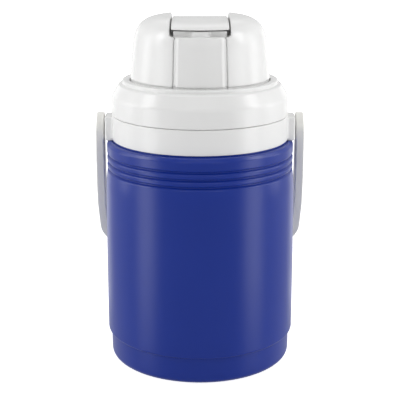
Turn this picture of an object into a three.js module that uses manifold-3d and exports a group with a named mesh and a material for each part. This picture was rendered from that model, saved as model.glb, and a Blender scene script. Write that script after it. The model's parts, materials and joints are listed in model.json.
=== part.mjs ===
// Insulated drink jug: double-wall body, screw lid with a flip-cover spout, and a swinging bail.
// Units are millimetres. The origin is the centre of the base on the surface that the jug stands on,
// +Z is up, -Y is the drinking side, and the bail turns about an axis along X.

import * as THREE from "three";
import { mergeVertices } from "three/addons/utils/BufferGeometryUtils.js";
import Module from "manifold-3d";

const wasm = await Module();
wasm.setup();

// ---------------------------------------------------------------- driving dimensions

const GAP = 0.3; // clearance between pieces that touch on the real object
const WALL = 2.4; // moulded wall
const ROUND_STEPS = 40; // facets round a large revolved piece
const SMALL_STEPS = 24; // facets round a small revolved piece
const BEVEL = 0.6; // bevel on the edges of the turned pieces
const OVERLAP = 0.4; // how far joined shapes run into each other

const FOOT_RADIUS = 65.0;
const FOOT_EDGE = 6.0; // rounding between the foot's side and its contact ring
const FOOT_RECESS = 1.2; // the underside's panel above the contact ring
const FOOT_RING_WIDTH = 7.0;
const STEP_Z = 19.8; // lower edge of the outer shell
const CAP_TONGUE = 10.2; // how far the base cap reaches up inside the shell
const CAP_CORNER = 4.0; // bevel inside the cap, between its side and its panel

const BODY_RADIUS = 67.2;
const SHELL_FOOT_EDGE = 1.2;
const BODY_STRAIGHT_TOP = 70.0; // the wall tapers above this height
const TAPER_Z = 132.0;
const TAPER_RADIUS = 66.5;
const RIB_RADIUS = 65.6;
const RIM_Z = 160.8;
const RIM_ROUND = 2.8;
const GROOVE_HEIGHTS = [140.8, 145.7, 150.8];
const GROOVE_DEPTH = 1.1;
const GROOVE_FLOOR = 0.6; // half width of a groove's floor
const GROOVE_MOUTH = 1.6; // half width of a groove at the surface
const SHELL_FOOT_BORE = 64.6;
const SHELL_TAPER_BORE = 63.8;
const SHELL_MOUTH_BORE = 62.0;
const SHELL_MOUTH_DEPTH = 21.8;

const PORT_Y = 26.0; // foam port, behind the centre of the base
const PORT_RADIUS = 9.0;
const PORT_HEAD = 10.5;
const PORT_HEAD_THICKNESS = 0.7;
const PORT_REACH = 1.0; // how far the plug's shank comes out inside the cap

const FOAM_BASE = 6.2; // underside of the body's foam
const FOAM_CORNER = 3.3;
const FOAM_EASE = 0.5; // extra room for the foam where the walls round it change

const LINER_BORE = 50.0;
const LINER_WALL = 2.0;
const LINER_FLOOR_Z = 18.0;
const LINER_CORNER = 5.0;
const FLANGE_THICKNESS = 1.7;

const COLLAR_RADIUS = 61.7;
const COLLAR_TOP = 177.75;
const COLLAR_TONGUE = 8.8; // how far the collar reaches down inside the shell's mouth
const NECK_BORE = 52.4;
const NECK_RADIUS = 54.0;
const NECK_TOP = 190.0;

const PIVOT_Z = 170.0;
const PAD_FACE_X = 66.5;
const PAD_HALF_WIDTH = 9.3;
const PAD_BOTTOM = 159.8;
const PAD_TOP = 176.5;
const PAD_CORNER = 1.6;
const STUB_RADIUS = 4.0;

const THREAD_PITCH = 7.0;
const THREAD_START_Z = 180.6;
const THREAD_CREST = 0.8; // half height of the ridge at its crest
const THREAD_ROOT = 1.5; // half height of the ridge at its root
const NECK_THREAD_RADIUS = 56.0;
const LID_THREAD_RADIUS = 55.2;
const THREAD_STEPS = 32;
const THREAD_TURNS = 0.97;
const THREAD_LEAD = 2.0; // degrees from the +X axis to the start of the neck's ridge

const LID_RADIUS = 61.8;
const LID_BORE = 57.5;
const LID_SHOULDER_Z = 189.5; // top of the lid's upright wall
const LID_SLOPE_TOP_R = 56.0;
const LID_STEP_Z = 199.9; // foot of the small step round the top ring
const LID_TOP = 202.3;
const LID_RING_RADIUS = 54.0;
const LID_HOLE = 49.1;
const LID_SHOULDER = 3.0; // rounding at the top of the lid's upright wall
const LID_TOP_EDGE = 0.8;

const DOME_RADIUS = 48.6;
const DOME_SPRING_R = 46.0; // where the dome's side turns into its shoulder
const DOME_SPRING_Z = 228.6;
const DOME_TOP_R = 27.0; // where the shoulder meets the crown
const DOME_TOP_Z = 246.1;
const TOTAL_HEIGHT = 246.8;
const DOME_FLANGE = 52.0;
const DOME_FLANGE_BASE = 197.0;
const DOME_STEPS = 6; // segments along the dome's shoulder curve

const CHANNEL_HALF_WIDTH = 20.1;
const CHANNEL_FLOOR = 235.3;
const SLOT_HALF_WIDTH = 18.7; // opening in the dome for the central insert
const INSERT_HALF_WIDTH = 18.0;
const CHEEK_BACK = 22.3; // far face of the channel's side walls

const PLATFORM_TOP = 238.9; // step on the insert, under the flip cover
const PLATFORM_HALF_WIDTH = 17.7;
const PLATFORM_FRONT = -38.5;
const PLATFORM_BACK = 26.0;
const NOSE_Y = -34.0;
const NOSE_RADIUS = 7.3;

const SPOUT_Y = -22.0;
const SPOUT_RADIUS = 8.0;
const SPOUT_BORE = 6.0;
const SPOUT_TOP = 240.0;
const SPOUT_BASE = 177.0;
const SEAL_RADIUS = 10.6;
const SEAL_HEIGHT = 2.0;

const LINER_CUP_RADIUS = 49.2;
const LINER_CUP_BASE = 178.0;
const LINER_CUP_WALL = 1.8;
const LINER_CUP_FLOOR = 2.0;
const LINER_CUP_EDGE = 1.6;
const CUP_FLANGE_RADIUS = 53.6;
const CUP_FLANGE_Z = 194.6;
const CUP_FLANGE_THICKNESS = 2.1;

const COVER_HALF_WIDTH = 19.2;
const COVER_LIP_Z = 239.7;
const COVER_CROWN_Z = 244.6;
const COVER_CROWN_Y = -8.0;
const COVER_CROWN_RADIUS = 300.0;
const COVER_WALL = 2.0;
const COVER_STEPS = 6; // segments along the cover's crown
const COVER_REACH = 50.0; // length in front of the jug's axis before the dome's surface trims it
const HINGE_Y = 33.0;
const HINGE_Z = 238.7;
const KNUCKLE_RADIUS = 3.1;
const PIN_RADIUS = 1.4;
const PLUG_RADIUS = 5.6;
const PLUG_BRIM = 7.5;
const PLUG_DEPTH = 2.6; // how far the plug goes into the spout

const BAIL_INNER_X = 66.8;
const BAIL_END_X = 72.3; // outer face of an arm at its pivot end
const BAIL_BOW_X = 71.1; // inner face of an arm where it bows out most
const BAIL_THICKNESS = 6.3;
const BAIL_WIDTH = 17.0;
const BAIL_LENGTH = 136.2; // from the pivot axis to the outer face of the bridge
const BAIL_BOW_AT = 80.0;
const BAIL_BEND_AT = 42.0; // the arms' outward bend is steeper before this distance
const BAIL_BEND_IN = 1.4; // how far the arm is still inside its widest place there
const BAIL_CORNER = 30.0;
const BAIL_REST_ANGLE = 35.5; // backwards from hanging straight down, degrees
const STUB_REACH = 0.9; // from the collar's surface to the end of the bail's stub

const FAR = 400.0; // reach of a cutting tool, past every face
const BORE_REACH = 0.6; // from the collar's surface to the floor of a stub's bore

// ---------------------------------------------------------------- materials

function plastic(name, color, roughness) {
  return new THREE.MeshStandardMaterial({ name, color, roughness, metalness: 0 });
}

const bluePlastic = plastic("blue_shell", 0x24357f, 0.38);
const whitePlastic = plastic("white_plastic", 0xe9e9e7, 0.36);
const greyPlastic = plastic("grey_bail", 0xc6c6c3, 0.5);
const linerPlastic = plastic("liner_plastic", 0xe4e6e6, 0.45);
const foam = plastic("foam", 0xe8dcae, 0.95);
const rubber = plastic("seal_rubber", 0xbfc2c4, 0.75);
const steel = new THREE.MeshStandardMaterial({
  name: "steel",
  color: 0xb4b6b8,
  roughness: 0.3,
  metalness: 1,
});

// ---------------------------------------------------------------- geometry helpers

// Closed solid of a three.js geometry, with its shared vertices merged and slivers left out.
function toSolid(geometry) {
  const bare = geometry.index ? geometry.toNonIndexed() : geometry.clone();
  bare.deleteAttribute("normal");
  bare.deleteAttribute("uv");
  const merged = mergeVertices(bare, 1e-4);
  const corners = merged.index.array;
  const kept = [];
  for (let i = 0; i < corners.length; i += 3) {
    const [a, b, c] = corners.slice(i, i + 3);
    if (a !== b && b !== c && c !== a) kept.push(a, b, c);
  }
  return new wasm.Manifold(new wasm.Mesh({
    numProp: 3,
    vertProperties: new Float32Array(merged.attributes.position.array),
    triVerts: new Uint32Array(kept),
  }));
}

function toGeometry(solid) {
  const mesh = solid.getMesh();
  const geometry = new THREE.BufferGeometry();
  geometry.setAttribute("position", new THREE.BufferAttribute(mesh.vertProperties, 3));
  geometry.setIndex(new THREE.BufferAttribute(mesh.triVerts, 1));
  return geometry;
}

// Solid of revolution about Z. The outline's points are [radius, height], anticlockwise.
function revolve(outline, steps = ROUND_STEPS) {
  const points = outline.map(([radius, height]) => new THREE.Vector2(radius, height));
  if (points[0].x > 0) points.push(points[0].clone());
  const geometry = new THREE.LatheGeometry(points, steps);
  return toSolid(geometry.rotateX(Math.PI / 2));
}

function box(minimum, maximum) {
  const size = maximum.map((value, axis) => value - minimum[axis]);
  const centre = maximum.map((value, axis) => (value + minimum[axis]) / 2);
  return toSolid(new THREE.BoxGeometry(...size).translate(...centre));
}

// Upright cylinder over (x, y), between two heights.
function post(x, y, radius, bottom, top) {
  const geometry = new THREE.CylinderGeometry(radius, radius, top - bottom, SMALL_STEPS);
  return toSolid(geometry.rotateX(Math.PI / 2).translate(x, y, (top + bottom) / 2));
}

// Cylinder along X through (y, z), between two x values.
function rod(y, z, radius, left, right) {
  const geometry = new THREE.CylinderGeometry(radius, radius, right - left, SMALL_STEPS);
  return toSolid(geometry.rotateZ(Math.PI / 2).translate((left + right) / 2, y, z));
}

// Prism of a shape drawn in (y, z), pushed from one x to another.
function prismAlongX(shape, left, right, curveSegments = 8) {
  const geometry = new THREE.ExtrudeGeometry(shape, {
    depth: right - left,
    bevelEnabled: false,
    curveSegments,
  });
  const turn = new THREE.Matrix4().makeBasis(
    new THREE.Vector3(0, 1, 0),
    new THREE.Vector3(0, 0, 1),
    new THREE.Vector3(1, 0, 0),
  );
  return toSolid(geometry.applyMatrix4(turn).translate(left, 0, 0));
}

// Points of an arc round (radius, height), angles in degrees, both ends included.
function arc(radius, height, size, from, to, steps) {
  return Array.from({ length: steps + 1 }, (_, i) => {
    const angle = THREE.MathUtils.degToRad(from + ((to - from) * i) / steps);
    return [radius + size * Math.cos(angle), height + size * Math.sin(angle)];
  });
}

// One turn of a right-hand thread ridge: a straight bar wrapped round Z on a helix.
function threadRidge(rootRadius, crestRadius, halfTurns) {
  const section = new THREE.Shape([
    new THREE.Vector2(rootRadius, -THREAD_ROOT),
    new THREE.Vector2(crestRadius, -THREAD_CREST),
    new THREE.Vector2(crestRadius, THREAD_CREST),
    new THREE.Vector2(rootRadius, THREAD_ROOT),
  ]);
  const sweep = 2 * Math.PI * THREAD_TURNS;
  const bar = new THREE.ExtrudeGeometry(section, {
    depth: sweep,
    steps: THREAD_STEPS,
    bevelEnabled: false,
  });
  const place = bar.attributes.position;
  for (let i = 0; i < place.count; i += 1) {
    const radius = place.getX(i);
    const angle = place.getZ(i);
    const height = THREAD_START_Z + (THREAD_PITCH * angle) / (2 * Math.PI) - place.getY(i);
    const turned = angle + halfTurns * Math.PI + THREE.MathUtils.degToRad(THREAD_LEAD);
    place.setXYZ(i, radius * Math.cos(turned), radius * Math.sin(turned), height);
  }
  return toSolid(bar);
}

// ---------------------------------------------------------------- body

function outerShell() {
  const grooves = GROOVE_HEIGHTS.flatMap((z) => [
    [RIB_RADIUS, z - GROOVE_MOUTH],
    [RIB_RADIUS - GROOVE_DEPTH, z - GROOVE_FLOOR],
    [RIB_RADIUS - GROOVE_DEPTH, z + GROOVE_FLOOR],
    [RIB_RADIUS, z + GROOVE_MOUTH],
  ]);
  const wall = revolve([
    [SHELL_FOOT_BORE, STEP_Z],
    ...arc(BODY_RADIUS - SHELL_FOOT_EDGE, STEP_Z + SHELL_FOOT_EDGE, SHELL_FOOT_EDGE, -90, 0, 2),
    [BODY_RADIUS, BODY_STRAIGHT_TOP],
    [TAPER_RADIUS, TAPER_Z],
    ...grooves,
    ...arc(RIB_RADIUS - RIM_ROUND, RIM_Z - RIM_ROUND, RIM_ROUND, 0, 90, 4),
    [SHELL_MOUTH_BORE, RIM_Z],
    [SHELL_MOUTH_BORE, RIM_Z - SHELL_MOUTH_DEPTH],
    [SHELL_TAPER_BORE, TAPER_Z],
    [SHELL_FOOT_BORE, BODY_STRAIGHT_TOP],
  ]);
  const notch = box(
    [-FAR, -PAD_HALF_WIDTH - GAP, PAD_BOTTOM - GAP],
    [FAR, PAD_HALF_WIDTH + GAP, FAR],
  );
  return wall.subtract(notch);
}

function baseCap() {
  const ringOuter = FOOT_RADIUS - FOOT_EDGE;
  const ringInner = ringOuter - FOOT_RING_WIDTH;
  const tongue = SHELL_FOOT_BORE - GAP;
  const shoulder = STEP_Z - GAP;
  const inside = tongue - WALL;
  const floor = FOOT_RECESS + WALL;
  const cap = revolve([
    [0, FOOT_RECESS],
    [ringInner, FOOT_RECESS],
    [ringInner + BEVEL, 0],
    ...arc(ringOuter, FOOT_EDGE, FOOT_EDGE, -90, 0, 4),
    [FOOT_RADIUS, shoulder],
    [tongue, shoulder],
    [tongue, shoulder + CAP_TONGUE],
    [inside, shoulder + CAP_TONGUE],
    [inside, floor + CAP_CORNER],
    [inside - CAP_CORNER, floor],
    [0, floor],
  ]);
  const seat = FOOT_RECESS + PORT_HEAD_THICKNESS + 2 * GAP;
  return cap
    .subtract(post(0, PORT_Y, PORT_RADIUS, -FAR, FAR))
    .subtract(post(0, PORT_Y, PORT_HEAD + GAP, -FAR, seat));
}

function fillPlug() {
  const face = FOOT_RECESS + GAP;
  const headTop = face + PORT_HEAD_THICKNESS;
  const head = post(0, PORT_Y, PORT_HEAD, face, headTop);
  const shankTop = FOOT_RECESS + WALL + PORT_REACH;
  const shank = post(0, PORT_Y, PORT_RADIUS - GAP, headTop - OVERLAP, shankTop);
  return head.add(shank);
}

function foamBody() {
  const collarInside = COLLAR_RADIUS - WALL - GAP;
  const linerOutside = LINER_BORE + LINER_WALL + GAP;
  const capInside = SHELL_FOOT_BORE - GAP - WALL - GAP;
  const mouth = SHELL_MOUTH_BORE - GAP;
  const mouthBottom = RIM_Z - SHELL_MOUTH_DEPTH;
  const collarBottom = RIM_Z - COLLAR_TONGUE - GAP;
  const capTop = STEP_Z + CAP_TONGUE;
  const top = COLLAR_TOP - WALL - GAP;
  const underLiner = LINER_FLOOR_Z - LINER_WALL - GAP;
  return revolve([
    [0, FOAM_BASE],
    [capInside - FOAM_CORNER, FOAM_BASE],
    [capInside, FOAM_BASE + FOAM_CORNER],
    [capInside, capTop],
    [SHELL_FOOT_BORE - GAP, capTop + FOAM_EASE],
    [SHELL_FOOT_BORE - GAP, BODY_STRAIGHT_TOP],
    [SHELL_TAPER_BORE - GAP, TAPER_Z - FOAM_EASE],
    [mouth, mouthBottom - FOAM_EASE],
    [mouth, collarBottom],
    [collarInside, collarBottom],
    [collarInside, top],
    [linerOutside, top],
    [linerOutside, underLiner],
    [0, underLiner],
  ]);
}

function innerLiner() {
  const outside = LINER_BORE + LINER_WALL;
  const flangeBase = NECK_TOP + GAP;
  const flangeTop = flangeBase + FLANGE_THICKNESS;
  const below = LINER_FLOOR_Z - LINER_WALL;
  const corner = LINER_CORNER - LINER_WALL;
  return revolve([
    [0, below],
    ...arc(outside - LINER_CORNER, below + LINER_CORNER, LINER_CORNER, -90, 0, 2),
    [outside, flangeBase],
    [NECK_RADIUS, flangeBase],
    [NECK_RADIUS, flangeTop],
    [LINER_BORE, flangeTop],
    [LINER_BORE, LINER_FLOOR_Z + corner],
    [LINER_BORE - corner, LINER_FLOOR_Z],
    [0, LINER_FLOOR_Z],
  ]);
}

// Pad that carries one end of the bail and sits in a notch of the rim, on the side given by +1 or -1.
function pivotPad(side) {
  const face = new THREE.Shape();
  const width = PAD_HALF_WIDTH - PAD_CORNER;
  const height = (PAD_TOP - PAD_BOTTOM) / 2 - PAD_CORNER;
  const middle = (PAD_TOP + PAD_BOTTOM) / 2;
  face.absarc(width, middle + height, PAD_CORNER, 0, Math.PI / 2);
  face.absarc(-width, middle + height, PAD_CORNER, Math.PI / 2, Math.PI);
  face.absarc(-width, middle - height, PAD_CORNER, Math.PI, 1.5 * Math.PI);
  face.absarc(width, middle - height, PAD_CORNER, 1.5 * Math.PI, 2 * Math.PI);
  const root = COLLAR_RADIUS - WALL / 2;
  const ends = [side * root, side * PAD_FACE_X].sort((a, b) => a - b);
  return prismAlongX(face, ...ends, 4);
}

function neckCollar() {
  const inside = COLLAR_RADIUS - WALL;
  const bottom = RIM_Z - COLLAR_TONGUE;
  const plate = COLLAR_TOP - WALL;
  const band = revolve([
    [inside, bottom],
    [COLLAR_RADIUS, bottom],
    [COLLAR_RADIUS, COLLAR_TOP - BEVEL],
    [COLLAR_RADIUS - BEVEL, COLLAR_TOP],
    [NECK_RADIUS, COLLAR_TOP],
    [NECK_RADIUS, NECK_TOP],
    [NECK_BORE, NECK_TOP],
    [NECK_BORE, plate],
    [inside, plate],
  ]);
  const boreEnd = COLLAR_RADIUS + BORE_REACH;
  const thread = threadRidge(NECK_RADIUS - OVERLAP, NECK_THREAD_RADIUS, 0);
  return band
    .add(pivotPad(1))
    .add(pivotPad(-1))
    .add(thread)
    .subtract(rod(0, PIVOT_Z, STUB_RADIUS + GAP, boreEnd, FAR))
    .subtract(rod(0, PIVOT_Z, STUB_RADIUS + GAP, -FAR, -boreEnd));
}

// ---------------------------------------------------------------- bail

// The strap is drawn flat: x across the jug, y away from the pivot axis.
function bailStrap() {
  const bowOuter = BAIL_BOW_X + BAIL_THICKNESS;
  const bendOuter = bowOuter - BAIL_BEND_IN;
  const bendInner = BAIL_BOW_X - BAIL_BEND_IN;
  const start = -BAIL_WIDTH / 2;
  const cornerY = BAIL_LENGTH - BAIL_CORNER;
  const cornerX = bowOuter - BAIL_CORNER;
  const innerCorner = BAIL_CORNER - BAIL_THICKNESS;
  const strap = new THREE.Shape();
  strap.moveTo(BAIL_INNER_X, start);
  strap.lineTo(BAIL_END_X, start);
  strap.quadraticCurveTo(bendOuter, BAIL_BEND_AT, bowOuter, BAIL_BOW_AT);
  strap.absarc(cornerX, cornerY, BAIL_CORNER, 0, Math.PI / 2);
  strap.absarc(-cornerX, cornerY, BAIL_CORNER, Math.PI / 2, Math.PI);
  strap.lineTo(-bowOuter, BAIL_BOW_AT);
  strap.quadraticCurveTo(-bendOuter, BAIL_BEND_AT, -BAIL_END_X, start);
  strap.lineTo(-BAIL_INNER_X, start);
  strap.quadraticCurveTo(-bendInner, BAIL_BEND_AT, -BAIL_BOW_X, BAIL_BOW_AT);
  strap.absarc(-cornerX, cornerY, innerCorner, Math.PI, Math.PI / 2, true);
  strap.absarc(cornerX, cornerY, innerCorner, Math.PI / 2, 0, true);
  strap.lineTo(BAIL_BOW_X, BAIL_BOW_AT);
  strap.quadraticCurveTo(bendInner, BAIL_BEND_AT, BAIL_INNER_X, start);
  const geometry = new THREE.ExtrudeGeometry(strap, {
    depth: BAIL_WIDTH,
    bevelEnabled: false,
    curveSegments: 8,
  });
  return toSolid(geometry.translate(0, 0, -BAIL_WIDTH / 2));
}

// Side view of the strap, with the round ends at the pivot axis.
function bailSide() {
  const half = BAIL_WIDTH / 2;
  const side = new THREE.Shape();
  side.absarc(0, 0, half, Math.PI, 2 * Math.PI);
  side.lineTo(half, FAR);
  side.lineTo(-half, FAR);
  const geometry = new THREE.ExtrudeGeometry(side, {
    depth: FAR,
    bevelEnabled: false,
    curveSegments: 10,
  });
  return toSolid(geometry.translate(0, 0, -FAR / 2).rotateY(Math.PI / 2));
}

function bailHandle() {
  const stubEnd = COLLAR_RADIUS + STUB_REACH;
  const stubRoot = BAIL_INNER_X + 1.5 * OVERLAP;
  return bailStrap()
    .intersect(bailSide())
    .add(rod(0, 0, STUB_RADIUS, stubEnd, stubRoot))
    .add(rod(0, 0, STUB_RADIUS, -stubRoot, -stubEnd));
}

// ---------------------------------------------------------------- lid

function lidGasket() {
  const bore = LINER_BORE + GAP;
  const bottom = NECK_TOP + GAP + FLANGE_THICKNESS + GAP;
  return revolve([
    [bore, bottom],
    [CUP_FLANGE_RADIUS, bottom],
    [CUP_FLANGE_RADIUS, CUP_FLANGE_Z - GAP],
    [bore, CUP_FLANGE_Z - GAP],
  ]);
}

function lidShell() {
  const pocket = DOME_FLANGE + GAP;
  const seat = CUP_FLANGE_RADIUS + GAP;
  const bottom = COLLAR_TOP + GAP;
  const shell = revolve([
    [LID_BORE, bottom],
    [LID_RADIUS - BEVEL, bottom],
    [LID_RADIUS, bottom + BEVEL],
    ...arc(LID_RADIUS - LID_SHOULDER, LID_SHOULDER_Z, LID_SHOULDER, 0, 36, 2),
    [LID_SLOPE_TOP_R, LID_STEP_Z - BEVEL],
    [LID_SLOPE_TOP_R - BEVEL, LID_STEP_Z],
    [LID_RING_RADIUS, LID_STEP_Z],
    [LID_RING_RADIUS, LID_TOP - LID_TOP_EDGE],
    [LID_RING_RADIUS - LID_TOP_EDGE, LID_TOP],
    [LID_HOLE, LID_TOP],
    [LID_HOLE, LID_TOP - WALL],
    [pocket, LID_TOP - WALL],
    [pocket, DOME_FLANGE_BASE],
    [seat, DOME_FLANGE_BASE],
    [seat, CUP_FLANGE_Z],
    [LID_BORE, CUP_FLANGE_Z - (LID_BORE - seat)],
  ]);
  return shell.add(threadRidge(LID_BORE + OVERLAP, LID_THREAD_RADIUS, 1));
}

function lidLiner() {
  const inside = LINER_CUP_RADIUS - LINER_CUP_WALL;
  const floor = LINER_CUP_BASE + LINER_CUP_FLOOR;
  const flangeTop = CUP_FLANGE_Z + CUP_FLANGE_THICKNESS;
  const cup = revolve([
    [0, LINER_CUP_BASE],
    [LINER_CUP_RADIUS - LINER_CUP_EDGE, LINER_CUP_BASE],
    [LINER_CUP_RADIUS, LINER_CUP_BASE + LINER_CUP_EDGE],
    [LINER_CUP_RADIUS, CUP_FLANGE_Z],
    [CUP_FLANGE_RADIUS, CUP_FLANGE_Z],
    [CUP_FLANGE_RADIUS, flangeTop],
    [inside, flangeTop],
    [inside, floor],
    [0, floor],
  ]);
  return cup.subtract(post(0, SPOUT_Y, SPOUT_RADIUS + GAP, -FAR, FAR));
}

function lidFoam() {
  const radius = LINER_CUP_RADIUS - LINER_CUP_WALL - GAP;
  const bottom = LINER_CUP_BASE + LINER_CUP_FLOOR + GAP;
  const top = CUP_FLANGE_Z + CUP_FLANGE_THICKNESS - GAP;
  const block = revolve([
    [0, bottom],
    [radius - BEVEL, bottom],
    [radius, bottom + BEVEL],
    [radius, top],
    [0, top],
  ]);
  return block.subtract(post(0, SPOUT_Y, SEAL_RADIUS + GAP, -FAR, FAR));
}

// Curve of the dome's shoulder, moved inwards and down by the inset given.
function domeShoulder(inset) {
  const curve = new THREE.CubicBezierCurve(
    new THREE.Vector2(DOME_SPRING_R - inset, DOME_SPRING_Z),
    new THREE.Vector2(DOME_SPRING_R - 1 - inset, DOME_SPRING_Z + 7.9 - inset / 2),
    new THREE.Vector2(DOME_TOP_R + 14 - inset, DOME_TOP_Z - 0.9 - inset),
    new THREE.Vector2(DOME_TOP_R, DOME_TOP_Z - inset),
  );
  return curve.getPoints(DOME_STEPS).map((point) => [point.x, point.y]);
}

// Solid filled by the dome, down to the height given.
function domeSolid(inset, bottom) {
  return revolve([
    [0, bottom],
    [DOME_RADIUS - inset, bottom],
    [DOME_RADIUS - inset, LID_TOP],
    ...domeShoulder(inset),
    [0, TOTAL_HEIGHT - inset],
  ]);
}

function domeShell() {
  const flangeTop = LID_TOP - WALL - GAP;
  const flange = revolve([
    [DOME_RADIUS - WALL, DOME_FLANGE_BASE],
    [DOME_FLANGE, DOME_FLANGE_BASE],
    [DOME_FLANGE, flangeTop],
    [DOME_RADIUS - WALL, flangeTop],
  ]);
  const hollow = domeSolid(WALL, DOME_FLANGE_BASE - OVERLAP);
  const cheeks = box([-CHEEK_BACK, -FAR, flangeTop], [CHEEK_BACK, FAR, FAR]);
  const slot = box([-SLOT_HALF_WIDTH, -FAR, flangeTop], [SLOT_HALF_WIDTH, FAR, FAR]);
  const channel = box([-CHANNEL_HALF_WIDTH, -FAR, CHANNEL_FLOOR], [CHANNEL_HALF_WIDTH, FAR, FAR]);
  return domeSolid(0, DOME_FLANGE_BASE)
    .subtract(hollow.subtract(cheeks))
    .add(flange)
    .subtract(slot)
    .subtract(channel)
    .subtract(rod(HINGE_Y, HINGE_Z, PIN_RADIUS + GAP, -CHEEK_BACK - WALL, CHEEK_BACK + WALL));
}

// Insert that closes the dome's slot, with a step under the flip cover and the spout's bore.
function spoutHousing() {
  const bottom = LID_TOP - WALL;
  const inner = INSERT_HALF_WIDTH - WALL;
  const outside = box([-INSERT_HALF_WIDTH, -FAR, bottom], [INSERT_HALF_WIDTH, FAR, CHANNEL_FLOOR]);
  const inside = box([-inner, -FAR, -FAR], [inner, FAR, CHANNEL_FLOOR - WALL]);
  const root = CHANNEL_FLOOR - WALL / 2;
  const platform = box(
    [-PLATFORM_HALF_WIDTH, PLATFORM_FRONT, root],
    [PLATFORM_HALF_WIDTH, PLATFORM_BACK, PLATFORM_TOP],
  );
  return domeSolid(0, DOME_FLANGE_BASE)
    .intersect(outside)
    .subtract(domeSolid(WALL, DOME_FLANGE_BASE - OVERLAP).intersect(inside))
    .add(platform)
    .add(post(0, NOSE_Y, NOSE_RADIUS, root, PLATFORM_TOP))
    .subtract(post(0, SPOUT_Y, SPOUT_RADIUS + GAP, -FAR, FAR));
}

function spoutTube() {
  const tube = revolve([
    [SPOUT_BORE, SPOUT_BASE],
    [SPOUT_RADIUS, SPOUT_BASE],
    [SPOUT_RADIUS, SPOUT_TOP - BEVEL],
    [SPOUT_RADIUS - BEVEL, SPOUT_TOP],
    [SPOUT_BORE, SPOUT_TOP],
  ], SMALL_STEPS);
  return tube.translate([0, SPOUT_Y, 0]);
}

function spoutSeal() {
  const bottom = LINER_CUP_BASE + LINER_CUP_FLOOR + GAP;
  const ring = revolve([
    [SPOUT_RADIUS + GAP, bottom],
    [SEAL_RADIUS, bottom],
    [SEAL_RADIUS, bottom + SEAL_HEIGHT],
    [SPOUT_RADIUS + GAP, bottom + SEAL_HEIGHT],
  ], SMALL_STEPS);
  return ring.translate([0, SPOUT_Y, 0]);
}

function hingePin() {
  const end = CHEEK_BACK - GAP;
  return rod(HINGE_Y, HINGE_Z, PIN_RADIUS, -end, end);
}

// ---------------------------------------------------------------- flip cover

// Side view of the cover's body in (y, z), lowered by the inset given.
function coverSide(front, rear, bottom, inset) {
  const top = (y) => {
    const away = y - COVER_CROWN_Y;
    return COVER_CROWN_Z - inset - (away * away) / (2 * COVER_CROWN_RADIUS);
  };
  const crown = Array.from({ length: COVER_STEPS + 1 }, (_, i) => {
    const y = rear + ((front - rear) * i) / COVER_STEPS;
    return new THREE.Vector2(y, top(y));
  });
  return new THREE.Shape([
    new THREE.Vector2(front, bottom),
    new THREE.Vector2(rear, bottom),
    ...crown,
  ]);
}

function flipCover() {
  const width = COVER_HALF_WIDTH;
  const inner = width - COVER_WALL;
  const rear = HINGE_Y - KNUCKLE_RADIUS - COVER_WALL / 2;
  const body = prismAlongX(coverSide(-COVER_REACH, HINGE_Y, COVER_LIP_Z, 0), -width, width);
  const hollowSide = coverSide(-COVER_REACH, rear, COVER_LIP_Z - COVER_WALL, COVER_WALL);
  const hollow = prismAlongX(hollowSide, -inner, inner);
  return body
    .intersect(domeSolid(0, DOME_FLANGE_BASE))
    .subtract(hollow.intersect(domeSolid(WALL, DOME_FLANGE_BASE - OVERLAP)))
    .add(rod(HINGE_Y, HINGE_Z, KNUCKLE_RADIUS, -width, width))
    .subtract(rod(HINGE_Y, HINGE_Z, PIN_RADIUS + GAP, -FAR, FAR));
}

function spoutPlug() {
  const away = SPOUT_Y - COVER_CROWN_Y - PLUG_BRIM;
  const roof = COVER_CROWN_Z - COVER_WALL - (away * away) / (2 * COVER_CROWN_RADIUS);
  const tip = SPOUT_TOP - PLUG_DEPTH;
  const plug = revolve([
    [0, tip],
    [PLUG_RADIUS - BEVEL, tip],
    [PLUG_RADIUS, tip + BEVEL],
    [PLUG_RADIUS, SPOUT_TOP + GAP],
    [PLUG_BRIM, SPOUT_TOP + GAP],
    [PLUG_BRIM, roof - GAP],
    [0, roof - GAP],
  ], SMALL_STEPS);
  return plug.translate([0, SPOUT_Y, 0]);
}

// ---------------------------------------------------------------- assembly

function piece(name, solid, material) {
  const mesh = new THREE.Mesh(toGeometry(solid), material);
  mesh.name = name;
  return mesh;
}

const body = new THREE.Group();
body.add(
  piece("outer_shell", outerShell(), bluePlastic),
  piece("base_cap", baseCap(), bluePlastic),
  piece("fill_plug", fillPlug(), bluePlastic),
  piece("foam_body", foamBody(), foam),
  piece("inner_liner", innerLiner(), linerPlastic),
  piece("neck_collar", neckCollar(), whitePlastic),
);

const bail = new THREE.Group();
bail.position.z = PIVOT_Z;
bail.rotation.x = THREE.MathUtils.degToRad(BAIL_REST_ANGLE - 90);
bail.add(piece("bail_handle", bailHandle(), greyPlastic));

const lid = new THREE.Group();
lid.add(
  piece("lid_gasket", lidGasket(), rubber),
  piece("lid_shell", lidShell(), whitePlastic),
  piece("lid_liner", lidLiner(), linerPlastic),
  piece("lid_foam", lidFoam(), foam),
  piece("dome_shell", domeShell(), whitePlastic),
  piece("spout_housing", spoutHousing(), whitePlastic),
  piece("spout_tube", spoutTube(), whitePlastic),
  piece("spout_seal", spoutSeal(), rubber),
  piece("hinge_pin", hingePin(), steel),
);

const cover = new THREE.Group();
cover.add(
  piece("flip_cover", flipCover(), whitePlastic),
  piece("spout_plug", spoutPlug(), rubber),
);

const group = new THREE.Group();
group.add(body, bail, lid, cover);

export default group;
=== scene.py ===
"""Looks of an insulated drink jug: blue body, white screw lid with a flip-cover spout, grey bail.

Lengths are in millimetres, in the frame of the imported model: the origin is the centre of the base,
+Z is up and -Y is the drinking side. Sizes that the frame holds are read from it. In an outline, a
corner's third number is the radius that rounds it.
"""

import json
import math

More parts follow.
